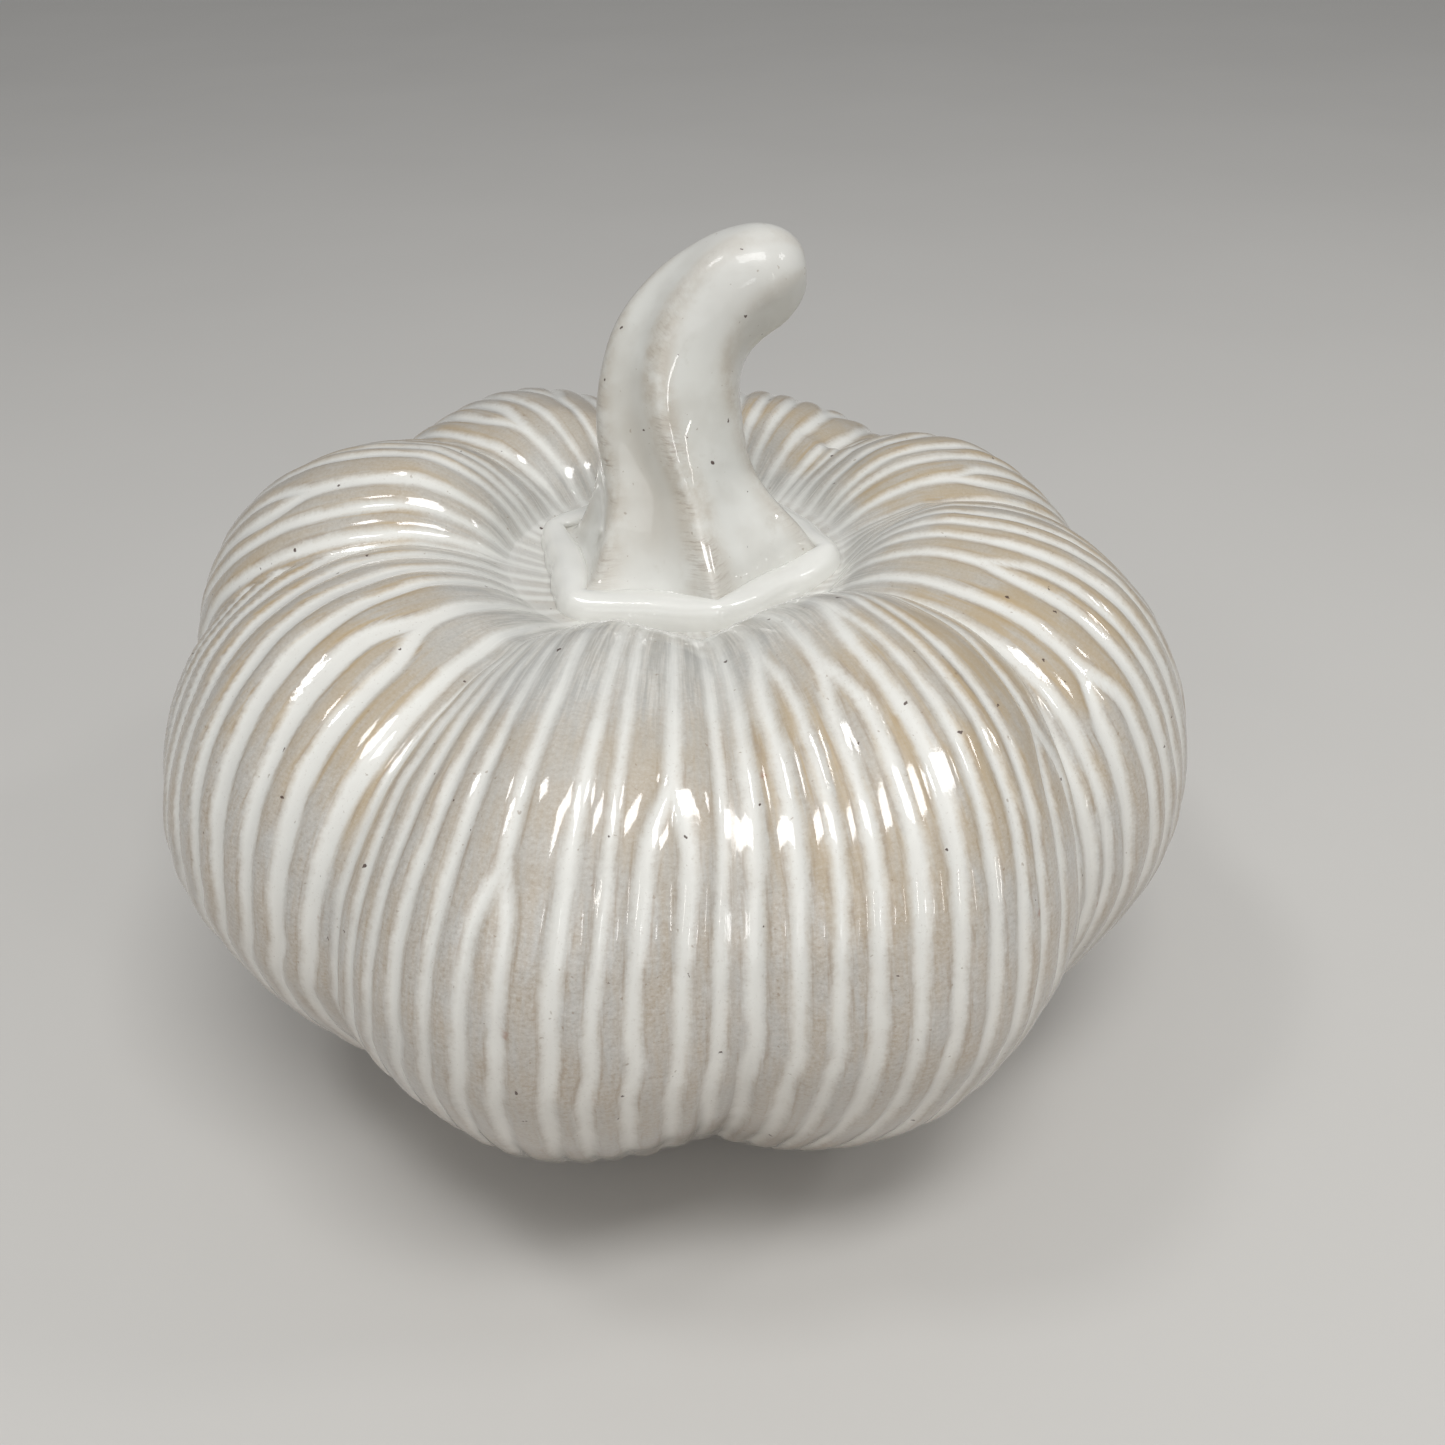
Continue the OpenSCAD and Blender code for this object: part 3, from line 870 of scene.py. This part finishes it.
def glaze_maps(tree):
    """What the parts of the body glaze share: places on the body, and the noise they are made of."""
    place = place_in_mm(tree)
    across, along, edge = attribute_parts(tree, "flow")
    pool = attribute_number(tree, "pool")
    # The white's edge is soft and slightly ragged
    fine = math_node(tree, "MULTIPLY_ADD", noise(tree, place, 0.8, 3.0, 0.65), 0.7, -0.35)
    broad = math_node(tree, "MULTIPLY_ADD", noise(tree, place, 5.0, 2.0), 0.9, -0.45)
    edge_here = math_node(tree, "ADD", edge, math_node(tree, "ADD", fine, broad))
    return SimpleNamespace(
        place=place, along=along, pool=pool, edge=edge_here,
        white=ramp_between(tree, edge_here, 0.95, -0.85),
        brushed=noise(tree, stretched(tree, across, along, edge, 1.3, 0.55), 1.0, 5.0, 0.65, 0.3),
        running=noise(tree, stretched(tree, across, along, edge, 0.9, 9.0), 1.0, 3.0, 0.6),
        streak=noise(tree, stretched(tree, across, along, edge, 2.6, 22.0), 1.0, 3.0, 0.6),
        cloud=noise(tree, place, 11.0, 3.0, 0.55),
        # low: painted shade with warm painted bounce light, growing towards the bottom
        low=math_node(tree, "MULTIPLY", ramp_between(tree, along, 100.0, 40.0), 0.62),
        shoulder=math_node(tree, "MULTIPLY", ramp_between(tree, along, 84.0, 122.0),
                           ramp_between(tree, pool, 0.7, 0.05)))


def land_colour(tree, maps):
    """The lands between the grooves: brushed across, cool or warm in clouds, with painted shade and warm
    painted bounce light low down.
    """
    warmth = math_node(tree, "ADD", math_node(tree, "MULTIPLY", maps.cloud, 0.8),
                       math_node(tree, "MULTIPLY", maps.running, 0.5))
    land = mix_colour(tree, ramp_between(tree, warmth, 0.48, 0.82), COOL_LAND, WARM_LAND)
    land = tint(tree, land, PALE_LAND, ramp_between(tree, maps.brushed, 0.45, 0.72), 0.65)
    land = tint(tree, land, EDGE_BROWN, ramp_between(tree, maps.brushed, 0.46, 0.28), 0.28)
    grain = noise(tree, maps.place, 0.45, 3.0, 0.7)
    land = tint(tree, land, EDGE_BROWN, ramp_between(tree, grain, 0.5, 0.3), 0.25)
    land = tint(tree, land, POOL_WHITE, ramp_between(tree, grain, 0.52, 0.72), 0.5)
    # Painted shade and warm painted bounce light towards the bottom
    return mix_colour(tree, maps.low, land, LOW_LAND_PAINTED_SHADE)


def shoulder_colour(tree, maps, land):
    """The lands of the shoulders: duller, beige at the right, with ochre streaks by the white."""
    land = tint(tree, land, SHOULDER_LAND, maps.shoulder, 0.4)
    right = math_node(tree, "MULTIPLY", away_from_plane(tree, maps.place, -60.0, 68.0, 100.0),
                      maps.shoulder)
    right = math_node(tree, "MULTIPLY", right, ramp_between(tree, maps.cloud, 0.4, 0.56, 0.1, 0.45))
    land = mix_colour(tree, right, land, RIGHT_LAND)
    amber = ramp_between(tree, math_node(tree, "MULTIPLY_ADD", maps.cloud, 0.35, maps.streak), 0.57, 0.8)
    patches = ramp_between(tree, noise(tree, maps.place, 30.0), 0.36, 0.5, 0.3, 1.0)
    amber = math_node(tree, "MULTIPLY", amber, patches)
    amber = math_node(tree, "MULTIPLY", amber, away_from_plane(tree, maps.place, -14.0, 10.0, 34.0))
    near_white = ramp_between(tree, maps.edge, 1.7, 0.4, 0.45, 1.0)
    amber = math_node(tree, "MULTIPLY", math_node(tree, "MULTIPLY", amber, near_white),
                      math_node(tree, "MULTIPLY_ADD", maps.shoulder, 0.85, 0.08))
    return mix_colour(tree, amber, land, OCHRE)


def rim_thin_glaze_and_shade(tree, maps, land):
    """Brown along the white's edge: partly where the glaze is thinnest, partly painted shade on the groove's
    wall.
    """
    # Painted shade on the groove's wall, together with the thin glaze's brown
    rim_glaze_and_shade = math_node(tree, "MULTIPLY", ramp_between(tree, maps.edge, -0.1, 0.35),
                    ramp_between(tree, maps.edge, 1.1, 0.45))
    rim_glaze_and_shade = math_node(tree, "MULTIPLY", rim_glaze_and_shade, ramp_between(tree, maps.running, 0.4, 0.7))
    return tint(tree, land, EDGE_BROWN, rim_glaze_and_shade, 0.5)


def white_grooves(tree, maps, colour):
    """Opaque white in the grooves, a little pitted, covering less and darker low down as painted shade and
    warm painted bounce light.
    """
    white = mix_colour(tree, noise(tree, maps.place, 3.0, 3.0), WHITE, CREAM)
    # Painted shade and warm painted bounce light on the white low down
    white = mix_colour(tree, maps.low, white, LOW_WHITE_PAINTED_SHADE)
    pores = ramp_between(tree, noise(tree, maps.place, 0.4, 2.0), 0.62, 0.75)
    white = tint(tree, white, EDGE_BROWN, pores, 0.16)
    cover = math_node(tree, "MULTIPLY_ADD", maps.cloud, 0.16, 0.9)
    # Painted shade low down: less of the white shows
    cover = math_node(tree, "MULTIPLY_ADD", maps.low, -0.22, cover)
    cover = math_node(tree, "MULTIPLY", maps.white, cover, clamp=True)
    return mix_colour(tree, cover, colour, white)


def milky_veil(tree, maps, colour):
    """The veil of white that has run down from the crown, thickest round the stem."""
    tone = mix_colour(tree, ramp_between(tree, maps.running, 0.35, 0.68), POOL_GREY, POOL_WHITE)
    tone = tint(tree, tone, VEILED_GROOVE, maps.white, 0.75)
    tone = tint(tree, tone, CROWN_WHITE, ramp_between(tree, maps.along, 156.0, 165.0), 0.6)
    share = math_node(tree, "MULTIPLY_ADD", maps.brushed, 0.5, 0.48)
    veil = math_node(tree, "MULTIPLY", maps.pool, share, clamp=True)
    return mix_colour(tree, veil, colour, tone)


def body_glaze():
    """Taupe lands, thin and ochre at their edges, with painted shade along the grooves' walls and low down,
    and opaque white pooled in the grooves.
    """
    material, tree, bsdf = new_material("body_glaze")
    maps = glaze_maps(tree)
    colour = land_colour(tree, maps)
    colour = shoulder_colour(tree, maps, colour)
    colour = rim_thin_glaze_and_shade(tree, maps, colour)
    colour = white_grooves(tree, maps, colour)
    colour = milky_veil(tree, maps, colour)
    plug(tree, iron_specks(tree, maps.place, colour), bsdf.inputs["Base Color"])
    glossy_glaze(bsdf, 0.45)
    skin = math_node(tree, "ADD", math_node(tree, "MULTIPLY", noise(tree, maps.place, 2.4, 2.0), 0.5),
                     math_node(tree, "MULTIPLY", maps.brushed, 0.2))
    bump(tree, skin, 0.3, 0.12, bsdf.inputs["Normal"], bsdf.inputs["Coat Normal"])
    return material


def stem_glaze():
    """Grey-white glaze that thins to beige over the ridges, with fine brown breaks across them, and painted
    shade in one side's hollow.
    """
    material, tree, bsdf = new_material("stem_glaze")
    place = place_in_mm(tree)
    across, along, ridge = attribute_parts(tree, "flow")
    flare, tip, hollow_painted_shade = attribute_parts(tree, "zone")
    cloud = noise(tree, place, 9.0, 3.0)
    base = mix_colour(tree, ramp_between(tree, cloud, 0.35, 0.65), STEM_PALE, STEM_GREY)
    # Painted shade in one side's hollow
    base = tint(tree, base, STEM_PAINTED_SHADE, hollow_painted_shade, 0.6)
    base = tint(tree, base, STEM_FLARE, flare, 0.3)
    smudge = ramp_between(tree, noise(tree, place, 6.0, 4.0, 0.65), 0.6, 0.74)
    base = tint(tree, base, STEM_SMUDGE, smudge, 0.3)
    broken = ramp_between(tree, noise(tree, place, 4.5, 5.0, 0.7), 0.34, 0.62, 0.35, 1.0)
    thin = math_node(tree, "MULTIPLY_ADD", ramp_between(tree, ridge, 0.1, 0.55), 0.85, 0.06)
    covered = math_node(tree, "MULTIPLY_ADD", flare, -0.6, 1.0)
    beige = math_node(tree, "MULTIPLY", math_node(tree, "MULTIPLY", broken, thin), covered)
    colour = tint(tree, base, STEM_BEIGE, beige, 0.74)
    ticks = noise(tree, stretched(tree, across, along, ridge, 2.2, 0.42), 1.0, 5.0, 0.7)
    crest = math_node(tree, "MULTIPLY", ramp_between(tree, ridge, 0.24, 0.8),
                      ramp_between(tree, ticks, 0.47, 0.66))
    crest = math_node(tree, "MULTIPLY", crest, ramp_between(tree, cloud, 0.40, 0.56))
    crest = math_node(tree, "MULTIPLY", crest, covered)
    crest = math_node(tree, "MULTIPLY", crest, ramp_between(tree, along, 34.0, 24.0, 0.35, 1.0))
    colour = tint(tree, colour, STEM_BREAK, crest, 0.62)
    colour = tint(tree, colour, STEM_TIP, tip, 0.6)
    colour = iron_specks(tree, place, colour)
    plug(tree, colour, bsdf.inputs["Base Color"])
    glossy_glaze(bsdf, 0.4)
    plug(tree, math_node(tree, "MULTIPLY_ADD", tip, -0.8, 1.0), bsdf.inputs["Coat Weight"])
    skin = noise(tree, place, 3.0, 2.0)
    bump(tree, skin, 0.22, 0.14, bsdf.inputs["Normal"], bsdf.inputs["Coat Normal"])
    return material


def white_slip():
    """Thick opaque white, almost unbroken."""
    material, tree, bsdf = new_material("white_slip")
    place = place_in_mm(tree)
    colour = mix_colour(tree, noise(tree, place, 6.0, 3.0), SLIP_WHITE, SLIP_SHADE)
    fleck = specks(tree, rough_place(tree, place, 0.5, 0.3), 3.4, 0.16, 0.1)
    colour = tint(tree, colour, EDGE_BROWN, fleck, 0.4)
    plug(tree, colour, bsdf.inputs["Base Color"])
    glossy_glaze(bsdf, 0.35)
    skin = noise(tree, place, 3.5, 2.0)
    bump(tree, skin, 0.22, 0.12, bsdf.inputs["Normal"], bsdf.inputs["Coat Normal"])
    return material


def bare_clay():
    """Unglazed, speckled stoneware on the foot and inside."""
    material, tree, bsdf = new_material("bare_clay")
    place = place_in_mm(tree)
    colour = mix_colour(tree, noise(tree, place, 5.0, 4.0, 0.6), CLAY_LIGHT, CLAY_DARK)
    grit = ramp_between(tree, noise(tree, place, 0.5, 3.0), 0.5, 0.7)
    colour = mix_colour(tree, grit, colour, CLAY_GRIT)
    colour = iron_specks(tree, place, colour)
    plug(tree, colour, bsdf.inputs["Base Color"])
    bsdf.inputs["Roughness"].default_value = 0.85
    bump(tree, noise(tree, place, 0.4, 4.0, 0.7), 0.5, 0.15, bsdf.inputs["Normal"])
    return material


def wool_felt():
    """Matted brown-grey wool."""
    material, tree, bsdf = new_material("wool_felt")
    place = place_in_mm(tree)
    matted = noise(tree, place, 0.5, 6.0, 0.75, 1.2)
    colour = mix_colour(tree, matted, FELT_DARK, FELT_LIGHT)
    plug(tree, colour, bsdf.inputs["Base Color"])
    bsdf.inputs["Roughness"].default_value = 0.95
    bsdf.inputs["Sheen Weight"].default_value = 0.4
    bump(tree, matted, 0.8, 0.3, bsdf.inputs["Normal"])
    return material


def pale_floor():
    """A plain pale surface with a trace of unevenness in its finish."""
    material, tree, bsdf = new_material("pale_floor")
    place = place_in_mm(tree)
    colour = mix_colour(tree, noise(tree, place, 120.0, 3.0), FLOOR_LIGHT, FLOOR_DARK)
    plug(tree, colour, bsdf.inputs["Base Color"])
    bsdf.inputs["Roughness"].default_value = 0.6
    return material


# ---- stage, lights and camera --------------------------------------------

FLOOR_SIZE = 8.0


def build_floor():
    bpy.ops.mesh.primitive_plane_add(size=FLOOR_SIZE, location=(0, 0, 0))
    floor = bpy.context.object
    floor.name = "studio_floor"
    floor.data.materials.append(pale_floor())


def area_light(name, place, target, size, watts, colour=(1, 1, 1)):
    light = bpy.data.lights.new(name, "AREA")
    light.shape = "RECTANGLE"
    light.size, light.size_y = size
    light.energy = watts
    light.color = colour
    lamp = bpy.data.objects.new(name, light)
    lamp.location = place
    lamp.rotation_euler = (Vector(target) - Vector(place)).to_track_quat("-Z", "Y").to_euler()
    bpy.context.scene.collection.objects.link(lamp)


def build_lights():
    middle = (0, 0, 0.06)
    area_light("overhead_panel", (0.12, -0.37, 0.92), middle, (0.5, 0.2), 4.4)
    area_light("overhead_left", (-0.36, -0.10, 0.92), middle, (0.17, 0.13), 1.0)
    area_light("overhead_right", (0.68, -0.06, 0.72), middle, (0.12, 0.12), 0.65)
    area_light("right_window", (0.95, -1.1, 0.62), middle, (0.05, 0.4), 0.75, (1.0, 0.97, 0.92))
    area_light("front_window", (0.08, -1.2, 0.6), middle, (0.07, 0.16), 0.32)
    area_light("front_fill", (-0.5, -1.5, 0.8), middle, (1.2, 0.9), 3.3, (0.98, 0.99, 1.0))


def build_world():
    """Even room light, brighter above than at the sides."""
    world = bpy.data.worlds.new("room")
    bpy.context.scene.world = world
    world.use_nodes = True
    tree = world.node_tree
    source = tree.nodes.new("ShaderNodeTexCoord")
    split = tree.nodes.new("ShaderNodeSeparateXYZ")
    tree.links.new(source.outputs["Generated"], split.inputs[0])
    level = ramp_between(tree, split.outputs[2], -0.1, 0.9)
    colour = mix_colour(tree, level, (0.46, 0.47, 0.49, 1), (0.88, 0.88, 0.88, 1))
    plug(tree, colour, tree.nodes["Background"].inputs["Color"])
    tree.nodes["Background"].inputs["Strength"].default_value = 0.45


CAMERA_DISTANCE = 0.2663
CAMERA_TARGET_Z = 0.045
CAMERA_PITCH, AIM_RIGHT, AIM_UP, CAMERA_ROLL = 34.906, 1.467, 0.863, 2.741
LENS, SENSOR = 36.05, 36.0


def build_camera():
    """Looks down at the front from close by, turned a little off the middle and rolled."""
    pitch, right_turn, up_turn, roll = map(math.radians, (CAMERA_PITCH, AIM_RIGHT, AIM_UP, CAMERA_ROLL))
    forward = Vector((0, math.cos(pitch), -math.sin(pitch)))
    right = Vector((1, 0, 0))
    up = right.cross(forward)
    place = Vector((0, 0, CAMERA_TARGET_Z)) - forward * CAMERA_DISTANCE
    right, forward = (math.cos(right_turn) * right - math.sin(right_turn) * forward,
                      math.sin(right_turn) * right + math.cos(right_turn) * forward)
    up, forward = (math.cos(up_turn) * up - math.sin(up_turn) * forward,
                   math.sin(up_turn) * up + math.cos(up_turn) * forward)
    right, up = (math.cos(roll) * right - math.sin(roll) * up,
                 math.sin(roll) * right + math.cos(roll) * up)
    data = bpy.data.cameras.new("camera")
    data.lens, data.sensor_width = LENS, SENSOR
    data.clip_start = 0.01
    camera = bpy.data.objects.new("camera", data)
    turned = Matrix((right, up, -forward)).transposed()
    camera.matrix_world = Matrix.Translation(place) @ turned.to_4x4()
    bpy.context.scene.collection.objects.link(camera)
    bpy.context.scene.camera = camera


# ---- the whole -----------------------------------------------------------

def hand_over(piece, node, slot, *materials):
    """Gives a piece its materials and its body, and hides the CAD node it stands for. slot, the finish's
    name, is not used.
    """
    for material in materials:
        piece.data.materials.append(material)
    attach(piece, "root")
    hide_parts(node)


build_camera()
build_world()
build_lights()
build_floor()
clay = bare_clay()
hand_over(build_body(), "body_shell", "body_glaze", body_glaze(), clay)
hand_over(build_stem(), "stem", "stem_glaze", stem_glaze(), clay)
hand_over(build_collar(), "slip_collar", "white_slip", white_slip())
hand_over(build_felt(), "felt_ring", "felt", wool_felt())
bpy.context.scene.view_settings.view_transform = "Standard"
